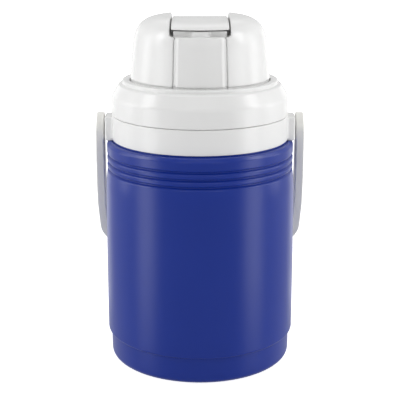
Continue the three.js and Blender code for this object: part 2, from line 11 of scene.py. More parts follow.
import bmesh
import bpy
import numpy as np
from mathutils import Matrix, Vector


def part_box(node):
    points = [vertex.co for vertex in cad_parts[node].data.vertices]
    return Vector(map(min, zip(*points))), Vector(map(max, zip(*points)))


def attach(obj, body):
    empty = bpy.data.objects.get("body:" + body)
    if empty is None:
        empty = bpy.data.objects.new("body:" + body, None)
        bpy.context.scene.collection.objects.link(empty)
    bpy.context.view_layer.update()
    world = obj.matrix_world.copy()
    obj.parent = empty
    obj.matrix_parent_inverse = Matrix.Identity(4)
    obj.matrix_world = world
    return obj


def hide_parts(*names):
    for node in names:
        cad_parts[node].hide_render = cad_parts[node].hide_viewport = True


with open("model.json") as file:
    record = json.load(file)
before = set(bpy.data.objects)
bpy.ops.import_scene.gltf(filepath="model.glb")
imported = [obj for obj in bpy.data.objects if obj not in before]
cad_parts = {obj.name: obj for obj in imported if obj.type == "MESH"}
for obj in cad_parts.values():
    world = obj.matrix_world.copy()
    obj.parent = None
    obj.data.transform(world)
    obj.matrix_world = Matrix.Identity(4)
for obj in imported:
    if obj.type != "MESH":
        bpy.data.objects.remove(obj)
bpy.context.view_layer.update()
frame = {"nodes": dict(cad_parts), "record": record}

# ---------------------------------------------------------------- sizes

MM = 0.001
AXES = "XYZ"


def low(node, axis):
    """Lowest coordinate of a node of the frame, in millimetres."""
    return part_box(node)[0][AXES.index(axis)] / MM


def high(node, axis):
    """Highest coordinate of a node of the frame, in millimetres."""
    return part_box(node)[1][AXES.index(axis)] / MM


def joint(name):
    """A joint of the frame by its name."""
    return next(j for j in frame["record"]["behaviour"]["joints"] if j["name"] == name)


GAP = 0.3  # clearance between neighbouring pieces
WALL = 2.4  # thickness of the moulded walls

BODY_RADIUS = high("outer_shell", "X")
RIM_Z = high("outer_shell", "Z")
STEP_Z = low("outer_shell", "Z")
RIB_RADIUS = BODY_RADIUS - 1.6  # the body's radius between the grooves
GROOVE_DROPS = (20.9, 15.9, 10.7)  # below the rim, lowest groove first
GROOVE_DEPTH = 1.5
GROOVE_HALF_FLOOR = 0.3
GROOVE_BELOW = 1.5  # from a groove's centre to its lower edge
GROOVE_ABOVE = 1.2
SEAM_DEPTH = 0.6  # how far the seam under the collar goes in past the mouth
NOTCH_LIP = 0.0005  # half the angle that a notch's side takes, in radians
NOTCH_CLEAR = 0.01  # angle beside a notch's side that holds no other facet edge
MOUTH_RADIUS = high("neck_collar", "Y") + GAP
SPIGOT_RADIUS = MOUTH_RADIUS - 1.8

FOOT_RADIUS = high("base_cap", "X")
FOOT_EDGE = 6.0
FOOT_RECESS = 1.2
PORT_Y = (high("fill_plug", "Y") + low("fill_plug", "Y")) / 2
PORT_HEAD = high("fill_plug", "X")

COLLAR_RADIUS = high("neck_collar", "Y")
COLLAR_TOP = low("lid_shell", "Z") - GAP
NECK_TOP = high("neck_collar", "Z")
NECK_RADIUS = high("inner_liner", "X")
LINER_RADIUS = 52.0
LINER_BORE = 50.0
LINER_FLOOR = 2.0
THREAD_PITCH = 7.0
THREAD_TURNS = 0.97
THREAD_START_Z = 180.6
THREAD_RADIUS = 56.0
THREAD_HALF_ROOT = 1.5
THREAD_HALF_CREST = 0.9
THREAD_SUNK = 0.3  # how far a ridge's root is sunk into its wall

PIVOT_Z = joint("bail_swing")["pos_m"][2] / MM
PAD_FACE_X = high("neck_collar", "X")
PAD_HALF_WIDTH = 9.3
PAD_BOTTOM = 159.8
PAD_TOP = 176.5
PAD_BORE = 4.3
PAD_FILLET = 1.8

LID_RADIUS = high("lid_shell", "X")
LID_BOTTOM = low("lid_shell", "Z")
LID_TOP = high("lid_shell", "Z")
LID_RING_RADIUS = 54.0
LID_HOLE = 49.1
LID_SKIRT_WALL = 4.3
LID_THREAD_RADIUS = 55.2

DOME_RADIUS = high("spout_housing", "Y")
DOME_FLANGE = high("dome_shell", "X")
DOME_BASE = low("dome_shell", "Z")
DOME_DRAFT = 2.6
DOME_SIDE = 26.3  # height of the dome's side, up to its shoulder
DOME_FOOT_INSET = 0.5
DOME_FOOT_GAP = 0.8  # height of the dark line between the dome and the lid's ring
CROWN_Z = high("dome_shell", "Z") + 0.4
CROWN_RISE = 0.7
CROWN_RADIUS = 27.0
PLATFORM_TOP = high("spout_housing", "Z")
CHANNEL_FLOOR = PLATFORM_TOP - 3.6
CHANNEL_HALF_WIDTH = 20.1

PANEL_HALF_WIDTH = 17.7
PANEL_NARROWING = 0.8  # from the dome's foot to the channel's floor
PANEL_EDGE = 3.4  # rounding of the insert's panels beside the groove round them
LOBE_EDGE = 1.2  # rounding of the dome's lobes beside that groove
PANEL_GROOVE_DEPTH = 0.55

PLATFORM_HALF_WIDTH = 17.7
PLATFORM_FRONT = -36.5
PLATFORM_BACK = 26.0
NOSE_Y = -34.0
NOSE_RADIUS = 7.3

COVER_HALF_WIDTH = high("flip_cover", "X")
COVER_LIP_Z = CHANNEL_FLOOR + 4.4
COVER_CROWN = (300.0, -8.0, 244.6)  # radius, and the y and z of its highest line
COVER_WALL = 2.0
KNUCKLE_RADIUS = 3.1
PIN_HOLE = 1.7
KNUCKLE_BORE = 1.6
HINGE_Y = joint("cover_flip")["pos_m"][1] / MM
HINGE_Z = joint("cover_flip")["pos_m"][2] / MM

SPOUT_RADIUS = high("spout_tube", "X")
SPOUT_Y = (high("spout_tube", "Y") + low("spout_tube", "Y")) / 2
SPOUT_TOP = high("spout_tube", "Z")
SPOUT_BORE = 6.0
STOPPER_RADIUS = 5.7

BAIL_INNER_X = 66.8
BAIL_END_X = 72.3
BAIL_THICKNESS = 6.3
BAIL_WIDTH = 17.0
BAIL_LENGTH = 136.2
BAIL_BOW_X = high("bail_handle", "X") - BAIL_THICKNESS
BAIL_BOW_AT = 80.0  # from the pivot axis to the straight part of an arm
BAIL_BEND_AT = 42.0  # the control point of the curve below that part
BAIL_BEND_IN = 1.4
BAIL_CORNER = 30.0
BAIL_EDGE = 0.8
STUB_RADIUS = 4.0
STUB_MIDDLE_X = 65.2
STUB_HALF_LENGTH = 2.6
BAIL_REST = math.radians(35.5)  # backwards from hanging straight down

SEGMENTS = 160  # facets round a revolved piece
SHARP_ANGLE = math.radians(40)  # an edge that turns more stays sharp


# ---------------------------------------------------------------- mesh helpers


def new_object(name, mesh):
    """Object of a mesh, linked to the scene and shaded smooth."""
    for polygon in mesh.polygons:
        polygon.use_smooth = True
    made = bpy.data.objects.new(name, mesh)
    bpy.context.scene.collection.objects.link(made)
    return made


def rounded(corners, steps=6):
    """Outline of (u, v) corners, where a third number is the radius that rounds the corner."""
    points = []
    for i, corner in enumerate(corners):
        here = np.array(corner[:2], float)
        size = corner[2] if len(corner) > 2 else 0
        if size == 0:
            points.append(tuple(here))
            continue
        before = np.array(corners[i - 1][:2], float) - here
        after = np.array(corners[(i + 1) % len(corners)][:2], float) - here
        before /= np.linalg.norm(before)
        after /= np.linalg.norm(after)
        half = math.acos(np.clip(before @ after, -1, 1)) / 2
        middle = (before + after) / np.linalg.norm(before + after)
        centre = here + middle * size / math.sin(half)
        start = here + before * size / math.tan(half) - centre
        end = here + after * size / math.tan(half) - centre
        first = math.atan2(start[1], start[0])
        turn = math.remainder(math.atan2(end[1], end[0]) - first, 2 * math.pi)
        for step in range(steps + 1):
            angle = first + turn * step / steps
            points.append(tuple(centre + size * np.array((math.cos(angle), math.sin(angle)))))
    return points


def even_angles(steps):
    """Angles that share a full turn evenly."""
    return [2 * math.pi * i / steps for i in range(steps)]


def revolved(bm, outline, angles):
    """Adds the solid of revolution of an anticlockwise (radius, height) outline to a bmesh."""
    steps = len(angles)
    rings = []
    for radius, height in outline:
        if radius < 1e-6:
            rings.append([bm.verts.new((0, 0, height * MM))])
            continue
        rings.append([
            bm.verts.new((radius * math.cos(a) * MM, radius * math.sin(a) * MM, height * MM))
            for a in angles
        ])
    for lower, upper in zip(rings, rings[1:] + rings[:1]):
        if len(lower) == len(upper) == 1:
            continue
        for i in range(steps):
            j = (i + 1) % steps
            if len(lower) == 1:
                bm.faces.new((lower[0], upper[j], upper[i]))
            elif len(upper) == 1:
                bm.faces.new((lower[i], lower[j], upper[0]))
            else:
                bm.faces.new((lower[i], lower[j], upper[j], upper[i]))


def finished(bm, name):
    """Object of a bmesh, with normals weighted so that flats stay flat beside rounded edges."""
    for edge in bm.edges:
        edge.smooth = edge.calc_face_angle(0) < SHARP_ANGLE
    mesh = bpy.data.meshes.new(name)
    bm.to_mesh(mesh)
    bm.free()
    made = new_object(name, mesh)
    made.modifiers.new("flats", "WEIGHTED_NORMAL").keep_sharp = True
    return made


def lathe(name, corners, steps=SEGMENTS, centre=(0, 0)):
    """Round piece from its outline's corners, about an upright axis through the centre given."""
    bm = bmesh.new()
    revolved(bm, rounded(corners), even_angles(steps))
    bmesh.ops.translate(bm, verts=bm.verts, vec=(centre[0] * MM, centre[1] * MM, 0))
    return finished(bm, name)


def ridge(bm, root, crest, start_angle):
    """Adds one turn of right-hand thread ridge, whose ends run out into the wall."""
    steps = 120
    sweep = 2 * math.pi * THREAD_TURNS
    rings = []
    for i in range(steps + 1):
        share = i / steps
        angle = start_angle + sweep * share
        height = THREAD_START_Z + THREAD_PITCH * sweep * share / (2 * math.pi)
        rise = min(1, 12 * min(share, 1 - share) + 0.02)
        tip = root + (crest - root) * rise
        section = [
            (root, -THREAD_HALF_ROOT),
            (tip, -THREAD_HALF_CREST),
            (tip, THREAD_HALF_CREST),
            (root, THREAD_HALF_ROOT),
        ]
        if crest < root:
            section.reverse()
        rings.append([
            bm.verts.new((r * math.cos(angle) * MM, r * math.sin(angle) * MM, (height + dz) * MM))
            for r, dz in section
        ])
    for here, there in zip(rings, rings[1:]):
        for i in range(4):
            j = (i + 1) % 4
            bm.faces.new((here[i], there[i], there[j], here[j]))
    bm.faces.new(rings[0])
    bm.faces.new(rings[-1][::-1])


# ---------------------------------------------------------------- shapes as distance fields


def meet(a, b, size=0.0):
    """Where both fields are inside, with the edge between them rounded to the radius given."""
    if size == 0:
        return np.maximum(a, b)
    corner = np.hypot(np.maximum(a + size, 0), np.maximum(b + size, 0))
    return np.minimum(np.maximum(a, b), -size) + corner


def join(a, b, size=0.0):
    """Where either field is inside, with the inner corner between them filled to that radius."""
    return -meet(-a, -b, size)


def cut(a, b, size=0.0):
    """The first field without the second, with the cut's edge rounded."""
    return meet(a, -b, size)


def outline_distance(points, u, v):
    """Signed distance to a closed outline, negative inside. An edge along u = 0 doesn't count."""
    nearest = np.full(u.shape, np.inf)
    inside = np.zeros(u.shape, bool)
    for (u0, v0), (u1, v1) in zip(points, points[1:] + points[:1]):
        du, dv = u1 - u0, v1 - v0
        if u0 > 0 or u1 > 0:
            along = np.clip(((u - u0) * du + (v - v0) * dv) / (du * du + dv * dv), 0, 1)
            nearest = np.minimum(nearest, (u - u0 - along * du) ** 2 + (v - v0 - along * dv) ** 2)
        if dv != 0:
            inside ^= ((v0 > v) != (v1 > v)) & (u < u0 + (v - v0) * du / dv)
    return np.where(inside, -1, 1) * np.sqrt(nearest)


def outline_field(points, margin=6.0, pitch=0.25):
    """Distance to a closed outline as a function of (u, v), read off a fine table."""
    corners = np.array(points)
    start = np.array([0.0, corners[:, 1].min() - margin])
    end = corners.max(axis=0) + margin
    us = np.arange(start[0], end[0], pitch)
    vs = np.arange(start[1], end[1], pitch)
    table = outline_distance(points, *np.meshgrid(us, vs, indexing="ij"))

    def distance(u, v):
        a = np.clip((u - start[0]) / pitch, 0, len(us) - 1.001)
        b = np.clip((v - start[1]) / pitch, 0, len(vs) - 1.001)
        i, j = a.astype(int), b.astype(int)
        s, t = a - i, b - j
        lower = table[i, j] * (1 - s) + table[i + 1, j] * s
        upper = table[i, j + 1] * (1 - s) + table[i + 1, j + 1] * s
        return lower * (1 - t) + upper * t

    return distance


def slope(field, points, step=0.2):
    """Gradient of a field at points."""
    result = np.empty_like(points)
    for axis in range(3):
        shift = np.zeros(3)
        shift[axis] = step
        result[:, axis] = field(*(points + shift).T) - field(*(points - shift).T)
    return result / (2 * step)


def cell_points(values, cells):
    """Mean point, in grid units, where the field's zero crosses each cell's edges."""
    total = np.zeros(cells.shape)
    hits = np.zeros(len(cells))
    for axis in range(3):
        for corner in ((0, 0), (0, 1), (1, 0), (1, 1)):
            near = np.insert(np.array(corner), axis, 0)
            far = np.insert(np.array(corner), axis, 1)
            a = values[tuple((cells + near).T)]
            b = values[tuple((cells + far).T)]
            crossed = (a < 0) != (b < 0)
            share = np.where(crossed, a / np.where(crossed, a - b, 1), 0)
            total += crossed[:, None] * (cells + near + share[:, None] * (far - near))
            hits += crossed
    return total / hits[:, None]


def surface_quads(inside, index):
    """Quads across every grid edge that the surface crosses, facing out."""
    quads = []
    for axis in range(3):
        a, b = np.eye(3, dtype=int)[(axis + 1) % 3], np.eye(3, dtype=int)[(axis + 2) % 3]
        step = np.eye(3, dtype=int)[axis]
        first = inside[tuple(slice(0, n - s) for n, s in zip(inside.shape, step))]
        second = inside[tuple(slice(s, n) for n, s in zip(inside.shape, step))]
        nodes = np.argwhere(first != second)
        ring = [index[tuple((nodes - shift).T)] for shift in (a + b, b, 0 * a, a)]
        faces = np.stack(ring, axis=1)
        leaving = first[tuple(nodes.T)]
        quads.append(np.where(leaving[:, None], faces, faces[:, ::-1]))
    return np.concatenate(quads)


def surface(name, field, start, end, pitch):
    """Object of a field's zero surface between two corners: surface nets, drawn onto the field."""
    axes = [np.arange(lo - pitch, hi + 2 * pitch, pitch) for lo, hi in zip(start, end)]
    y, z = np.meshgrid(axes[1], axes[2], indexing="ij")
    values = np.stack([field(np.full_like(y, x), y, z) for x in axes[0]])
    inside = values < 0
    nx, ny, nz = (size - 1 for size in inside.shape)
    count = sum(
        inside[i:i + nx, j:j + ny, k:k + nz].astype(int)
        for i in (0, 1) for j in (0, 1) for k in (0, 1)
    )
    active = (count > 0) & (count < 8)
    index = np.full(active.shape, -1)
    index[active] = np.arange(active.sum())
    cells = np.argwhere(active)
    points = cell_points(values, cells) * pitch + np.array([axis[0] for axis in axes])
    for _ in range(3):
        gradient = slope(field, points)
        steepness = np.maximum((gradient ** 2).sum(axis=1), 0.2)
        move = gradient * (field(*points.T) / steepness)[:, None]
        points -= np.clip(move, -pitch / 2, pitch / 2)
    normals = slope(field, points)
    normals /= np.linalg.norm(normals, axis=1)[:, None]
    mesh = bpy.data.meshes.new(name)
    mesh.from_pydata((points * MM).tolist(), [], surface_quads(inside, index).tolist())
    made = new_object(name, mesh)
    mesh.normals_split_custom_set_from_vertices(normals.tolist())
    return made


# ---------------------------------------------------------------- materials

TINT = 0.03  # share by which a plastic's colour varies
GLOSS_SWING = 0.03  # amount by which its roughness varies


class Nodes:
    """Short way to build one material's node tree round its Principled shader."""

    def __init__(self, name, roughness, **sockets):
        self.material = bpy.data.materials.new(name)
        self.material.use_nodes = True
        self.tree = self.material.node_tree
        self.shader = self.tree.nodes["Principled BSDF"]
        self.shader.inputs["Roughness"].default_value = roughness
        for socket, value in sockets.items():
            self.shader.inputs[socket.replace("_", " ")].default_value = value
        self.place = self.tree.nodes.new("ShaderNodeTexCoord").outputs["Object"]

    def link(self, source, target):
        self.tree.links.new(source, target)

    def noise(self, scale, detail=2.0, stretch=(1, 1, 1)):
        """Noise with that many features per metre."""
        mapping = self.tree.nodes.new("ShaderNodeMapping")
        mapping.inputs["Scale"].default_value = stretch
        self.link(self.place, mapping.inputs["Vector"])
        noise = self.tree.nodes.new("ShaderNodeTexNoise")
        noise.inputs["Scale"].default_value = scale
        noise.inputs["Detail"].default_value = detail
        self.link(mapping.outputs["Vector"], noise.inputs["Vector"])
        return noise.outputs["Fac"]

    def spread(self, source, low_value, high_value, start=0.3, end=0.7):
        """Maps a noise to a range of values."""
        node = self.tree.nodes.new("ShaderNodeMapRange")
        node.inputs["From Min"].default_value = start
        node.inputs["From Max"].default_value = end
        node.inputs["To Min"].default_value = low_value
        node.inputs["To Max"].default_value = high_value
        self.link(source, node.inputs["Value"])
        return node.outputs["Result"]

    def blend(self, factor, first, second):
        """Mix of two colours."""
        node = self.tree.nodes.new("ShaderNodeMix")
        node.data_type = "RGBA"
        node.inputs["A"].default_value = (*first, 1)
        node.inputs["B"].default_value = (*second, 1)
        self.link(factor, node.inputs["Factor"])
        return node.outputs["Result"]

    def bump(self, heights):
        """Stacks bumps: (height, depth in millimetres) pairs."""
        normal = None
        for height, depth in heights:
            node = self.tree.nodes.new("ShaderNodeBump")
            node.inputs["Strength"].default_value = 1.0
            node.inputs["Distance"].default_value = depth * MM
            self.link(height, node.inputs["Height"])
            if normal:
                self.link(normal, node.inputs["Normal"])
            normal = node.outputs["Normal"]
        self.link(normal, self.shader.inputs["Normal"])


def tinted(colour, share):
    """A colour made lighter or darker by a share."""
    return tuple(min(1.0, max(0.0, c * (1 + share))) for c in colour)


def moulded_plastic(name, colour, roughness, grain=900, grain_depth=0.004, waves=0.02):
    """Moulded plastic: faint mottling, fine grain, shallow sink waves and uneven gloss."""
    nodes = Nodes(name, roughness)
    mottle = nodes.spread(nodes.noise(22, detail=2), 0, 1, 0.1, 0.9)
    base = nodes.blend(mottle, tinted(colour, -TINT), tinted(colour, TINT))
    nodes.link(base, nodes.shader.inputs["Base Color"])
    sheen = nodes.noise(45, detail=3)
    gloss = nodes.spread(sheen, roughness - GLOSS_SWING, roughness + GLOSS_SWING, 0.1, 0.9)
    nodes.link(gloss, nodes.shader.inputs["Roughness"])
    nodes.bump([
        (nodes.noise(14, detail=1), waves),
        (nodes.noise(grain, detail=3), grain_depth),
    ])
    return nodes.material


def foam_material(name, colour):
    """Rigid foam with open cells at its skin."""
    nodes = Nodes(name, 0.95)
    base = nodes.blend(nodes.spread(nodes.noise(220, detail=6), 0, 1), tinted(colour, -0.2), colour)
    nodes.link(base, nodes.shader.inputs["Base Color"])
    nodes.bump([(nodes.noise(700, detail=4), 0.25)])
    return nodes.material


def brushed_steel(name):
    """Drawn steel wire with marks along its length."""
    nodes = Nodes(name, 0.3, Metallic=1.0)
    marks = nodes.noise(900, detail=3, stretch=(0.04, 1, 1))
    base = nodes.blend(nodes.spread(marks, 0, 1), (0.5, 0.51, 0.52), (0.68, 0.69, 0.7))
    nodes.link(base, nodes.shader.inputs["Base Color"])
    nodes.link(nodes.spread(marks, 0.22, 0.4), nodes.shader.inputs["Roughness"])
    nodes.bump([(marks, 0.004)])
    return nodes.material


BLUE = moulded_plastic(
    "blue_polyethylene", (0.0012, 0.0245, 0.27), 0.31, grain_depth=0.003, waves=0.03
)
DARK_BLUE = moulded_plastic("plug_blue", (0.002, 0.012, 0.17), 0.5)
WHITE = moulded_plastic(
    "white_polypropylene", (0.87, 0.87, 0.865), 0.24, grain_depth=0.002, waves=0.015
)
GREY = moulded_plastic(
    "grey_bail_plastic", (0.875, 0.87, 0.835), 0.42, grain=1300, grain_depth=0.006
)
LINER = moulded_plastic("liner_polyethylene", (0.76, 0.78, 0.78), 0.45)
SILICONE = moulded_plastic("silicone", (0.52, 0.54, 0.55), 0.62, grain=1600)
FOAM = foam_material("urethane_foam", (0.8, 0.7, 0.42))
STEEL = brushed_steel("hinge_steel")


def dress(piece, material, body, slot, *nodes):
    """Gives a piece its material and body, and hides the frame's nodes that it stands for. The slot
    is not used.
    """
    piece.data.materials.clear()
    piece.data.materials.append(material)
    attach(piece, body)
    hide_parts(*nodes)


# ---------------------------------------------------------------- body


def make_shell():
    """Blue outer wall: drafted side, three grooves, and a rim with a notch for each pivot pad."""
    foot_bore = FOOT_RADIUS - 0.4
    grooves = []
    for drop in GROOVE_DROPS:
        z = RIM_Z - drop
        grooves += [
            (RIB_RADIUS, z - GROOVE_BELOW, 1.4),
            (RIB_RADIUS - GROOVE_DEPTH, z - GROOVE_HALF_FLOOR, 0.3),
            (RIB_RADIUS - GROOVE_DEPTH, z + GROOVE_HALF_FLOOR, 0.3),
            (RIB_RADIUS, z + GROOVE_ABOVE, 0.9),
        ]
    corners = [
        (foot_bore, STEP_Z, 0.3),
        (BODY_RADIUS, STEP_Z, 1.8),
        (BODY_RADIUS, RIM_Z - 90, 2500),
        (BODY_RADIUS - 0.6, RIM_Z - 30, 110),
        *grooves,
        (RIB_RADIUS, RIM_Z - 3.8, 1.8),
        (RIB_RADIUS - 1.3, RIM_Z - 1.8, 0.7),
        (MOUTH_RADIUS + 0.5, RIM_Z - 1.1, 0.3),
        (MOUTH_RADIUS - SEAM_DEPTH, RIM_Z - 1.8, 0.2),
        (MOUTH_RADIUS - SEAM_DEPTH, RIM_Z - 0.2, 0.2),
        (SPIGOT_RADIUS + GAP, RIM_Z - 0.2, 0.2),
        (SPIGOT_RADIUS + GAP, RIM_Z - 2.2),
        (MOUTH_RADIUS, RIM_Z - 2.6),
        (MOUTH_RADIUS, RIM_Z - 22),
        (foot_bore - 0.8, RIM_Z - 30),
        (foot_bore, RIM_Z - 90),
    ]
    floor = PAD_BOTTOM - GAP
    half_angle = math.asin((PAD_HALF_WIDTH + GAP) / MOUTH_RADIUS)
    edges = [end + side * half_angle for end in (0, math.pi) for side in (-1, 1)]

    def clear(angle):
        return min(abs(math.remainder(angle - e, 2 * math.pi)) for e in edges) > NOTCH_CLEAR

    angles = [a for a in even_angles(SEGMENTS) if clear(a)]
    angles += [e + shift for e in edges for shift in (-NOTCH_LIP, NOTCH_LIP)]
    bm = bmesh.new()
    revolved(bm, rounded(corners), sorted(a % (2 * math.pi) for a in angles))
    for vertex in bm.verts:
        x, y, z = vertex.co
        if abs(math.atan2(y, abs(x))) < half_angle:
            vertex.co.z = min(z, floor * MM)
    bmesh.ops.dissolve_degenerate(bm, dist=1e-6, edges=bm.edges)
    shell = finished(bm, "shell_wall")
    dress(shell, BLUE, "body", "blue_shell", "outer_shell")


def make_foot():
    """Blue base: foot ring, recessed underside panel and its fill plug."""
    contact = FOOT_RADIUS - FOOT_EDGE
    tongue = FOOT_RADIUS - 0.7
    shoulder = STEP_Z - 0.1
    top = high("base_cap", "Z")
    foot = lathe("foot_cap", [
        (0, FOOT_RECESS),
        (contact - 7, FOOT_RECESS, 0.8),
        (contact - 6, 0, 0.6),
        (contact + 1.5, 0, 1.5),
        (FOOT_RADIUS - 0.2, 1.0 + 0.6, FOOT_EDGE - 1.5),
        (FOOT_RADIUS, shoulder, 0.4),
        (tongue - 2, shoulder, 0.2),
        (tongue - 2, shoulder + 0.3),
        (tongue, shoulder + 0.3),
        (tongue, top, 0.5),
        (tongue - WALL, top, 0.5),
        (tongue - WALL, FOOT_RECESS + WALL + 3, 2.5),
        (tongue - WALL - 4, FOOT_RECESS + WALL, 2),
        (0, FOOT_RECESS + WALL),
    ])
    dress(foot, BLUE, "body", "blue_shell", "base_cap")
    face = low("fill_plug", "Z") - 0.6
    plug = lathe("foam_port_plug", [
        (0, face + 0.25),
        (PORT_HEAD - 3.5, face + 0.25, 0.4),
        (PORT_HEAD - 3, face, 0.3),
        (PORT_HEAD, face, 0.6),
        (PORT_HEAD, face + 1.5),
        (0, face + 1.5),
    ], 64, (0, PORT_Y))
    dress(plug, DARK_BLUE, "body", "blue_plug", "fill_plug")


def make_collar():
    """White collar: the band above the rim and the threaded neck inside the lid."""
    inside = COLLAR_RADIUS - WALL
    plate = COLLAR_TOP - WALL
    bore = NECK_RADIUS - 1.6
    bm = bmesh.new()
    revolved(bm, rounded([
        (inside, low("neck_collar", "Z")),
        (SPIGOT_RADIUS, low("neck_collar", "Z"), 0.3),
        (SPIGOT_RADIUS, RIM_Z - 0.1, 0.2),
        (COLLAR_RADIUS, RIM_Z - 0.1, 0.35),
        (COLLAR_RADIUS, COLLAR_TOP, 0.9),
        (NECK_RADIUS, COLLAR_TOP, 0.6),
        (NECK_RADIUS, NECK_TOP, 0.4),
        (bore, NECK_TOP, 0.4),
        (bore, plate, 0.4),
        (inside, plate, 0.6),
    ]), even_angles(SEGMENTS))
    ridge(bm, NECK_RADIUS - THREAD_SUNK, THREAD_RADIUS, math.radians(2))
    collar = finished(bm, "collar_band")
    dress(collar, WHITE, "body", "white_lid", "neck_collar")
    for side, name in ((-1, "pivot_pad_left"), (1, "pivot_pad_right")):
        pad = surface(name, pad_field(side), *pad_space(side), 0.5)
        dress(pad, WHITE, "body", "white_lid", "neck_collar")


def pad_space(side):
    """Corners of the space that one pivot pad takes."""
    xs = sorted((side * (COLLAR_RADIUS - WALL), side * PAD_FACE_X))
    reach = PAD_HALF_WIDTH + 2.5
    return (xs[0], -reach, PAD_BOTTOM), (xs[1], reach, PAD_TOP)


def pad_field(side):
    """Pivot pad: a rounded block, filleted into the collar and bored for the bail's stub."""
    middle, half = (PAD_TOP + PAD_BOTTOM) / 2, (PAD_TOP - PAD_BOTTOM) / 2

    def field(x, y, z):
        across = side * x
        radius = np.hypot(x, y)
        plan = meet(np.abs(y) - PAD_HALF_WIDTH, across - PAD_FACE_X, 1.5)
        foot = meet(plan, z - RIM_Z - 1)
        flared = join(plan, radius - COLLAR_RADIUS + 0.03, PAD_FILLET)
        flared = meet(flared, RIM_Z + 0.6 - z)
        flared = meet(flared, np.abs(y) - PAD_HALF_WIDTH - PAD_FILLET)
        block = meet(join(foot, flared), np.abs(z - middle) - half, 0.9)
        block = meet(block, COLLAR_RADIUS - WALL / 2 - across)
        stub_room = meet(np.hypot(y, z - PIVOT_Z) - PAD_BORE, COLLAR_RADIUS + 0.6 - across)
        return cut(block, stub_room, 0.4)

    return field


def make_liner():
    """Drink vessel with the flange that the lid seals on."""
    floor = low("inner_liner", "Z")
    top = high("inner_liner", "Z")
    flange = NECK_TOP + GAP
    liner = lathe("drink_liner", [
        (0, floor),
        (LINER_RADIUS, floor, 5),
        (LINER_RADIUS, flange, 0.4),
        (NECK_RADIUS, flange, 0.4),
        (NECK_RADIUS, top, 0.5),
        (LINER_BORE, top, 0.8),
        (LINER_BORE, floor + LINER_FLOOR, 3.5),
        (0, floor + LINER_FLOOR),
    ])
    dress(liner, LINER, "body", "liner", "inner_liner")


# ---------------------------------------------------------------- bail


def strap_outline():
    """Outline of the bail's right half in (across, away from the pivot axis)."""
    bow = BAIL_BOW_X + BAIL_THICKNESS
    inside = BAIL_LENGTH - BAIL_THICKNESS
    start = -BAIL_WIDTH / 2

    def side(end_x, bow_x):
        first = np.array((end_x, start))
        bend = np.array((bow_x - BAIL_BEND_IN, BAIL_BEND_AT))
        last = np.array((bow_x, BAIL_BOW_AT))
        shares = [i / 16 for i in range(17)]
        return [tuple((1 - t) ** 2 * first + 2 * t * (1 - t) * bend + t * t * last) for t in shares]

    return rounded([
        (BAIL_END_X, start - 4),
        *side(BAIL_END_X, bow),
        (bow, BAIL_LENGTH, BAIL_CORNER),
        (0, BAIL_LENGTH),
        (0, inside),
        (BAIL_BOW_X, inside, BAIL_CORNER - BAIL_THICKNESS),
        *side(BAIL_INNER_X, BAIL_BOW_X)[::-1],
        (BAIL_INNER_X, start - 4),
    ], 16)


def make_bail():
    """Grey strap bail with rounded edges and two pivot stubs, at rest against the body's back."""
    strap = outline_field(strap_outline(), margin=12)
    half = BAIL_WIDTH / 2
    away = (math.sin(BAIL_REST), -math.cos(BAIL_REST))
    over = (math.cos(BAIL_REST), math.sin(BAIL_REST))

    def field(x, y, z):
        along = y * away[0] + (z - PIVOT_Z) * away[1]
        beside = y * over[0] + (z - PIVOT_Z) * over[1]
        across = np.abs(x)
        round_end = np.where(along < 0, np.hypot(along, beside), np.abs(beside)) - half
        bar = meet(strap(across, along), round_end, BAIL_EDGE)
        reach_in = np.abs(across - STUB_MIDDLE_X) - STUB_HALF_LENGTH
        pin = meet(np.hypot(along, beside) - STUB_RADIUS, reach_in, 0.5)
        return join(bar, pin, 0.4)

    reach = high("bail_handle", "X")
    start = (-reach, low("bail_handle", "Y"), low("bail_handle", "Z"))
    end = (reach, high("bail_handle", "Y"), high("bail_handle", "Z"))
    bail = surface("bail_strap", field, start, end, 0.8)
    dress(bail, GREY, "bail", "grey_bail", "bail_handle")


# ---------------------------------------------------------------- lid


def make_lid_skirt():
    """White screw lid: upright skirt, sloped shoulder, small step and flat top ring."""
    pocket = DOME_FLANGE + GAP
    seat = high("lid_liner", "X") + 0.4
    seat_z = high("lid_gasket", "Z") + GAP
    bore = LID_RADIUS - LID_SKIRT_WALL
    bm = bmesh.new()
    revolved(bm, rounded([
        (bore, LID_BOTTOM, 0.4),
        (LID_RADIUS, LID_BOTTOM, 0.8),
        (LID_RADIUS, LID_TOP - 11.6, 6.0),
        (LID_RING_RADIUS + 2.5, LID_TOP - 3.2, 2.0),
        (LID_RING_RADIUS, LID_TOP - 2.4, 0.4),
        (LID_RING_RADIUS, LID_TOP, 1.0),
        (LID_HOLE, LID_TOP, 0.6),
        (LID_HOLE, LID_TOP - WALL, 0.3),
        (pocket, LID_TOP - WALL),
        (pocket, DOME_BASE),
        (seat, DOME_BASE),
        (seat, seat_z),
        (bore, seat_z - 3.5),
    ]), even_angles(SEGMENTS))
    ridge(bm, bore + THREAD_SUNK, LID_THREAD_RADIUS, math.radians(182))
    skirt = finished(bm, "lid_skirt")
    dress(skirt, WHITE, "lid", "white_lid", "lid_shell")


def bezier(points, steps):
    """Points along a cubic curve, without its first."""
    ends = [np.array(p, float) for p in points]
    weights = (1, 3, 3, 1)
    made = []
    for i in range(1, steps + 1):
        t = i / steps
        made.append(tuple(sum(
            w * (1 - t) ** (3 - k) * t ** k * p for k, (w, p) in enumerate(zip(weights, ends))
        )))
    return made


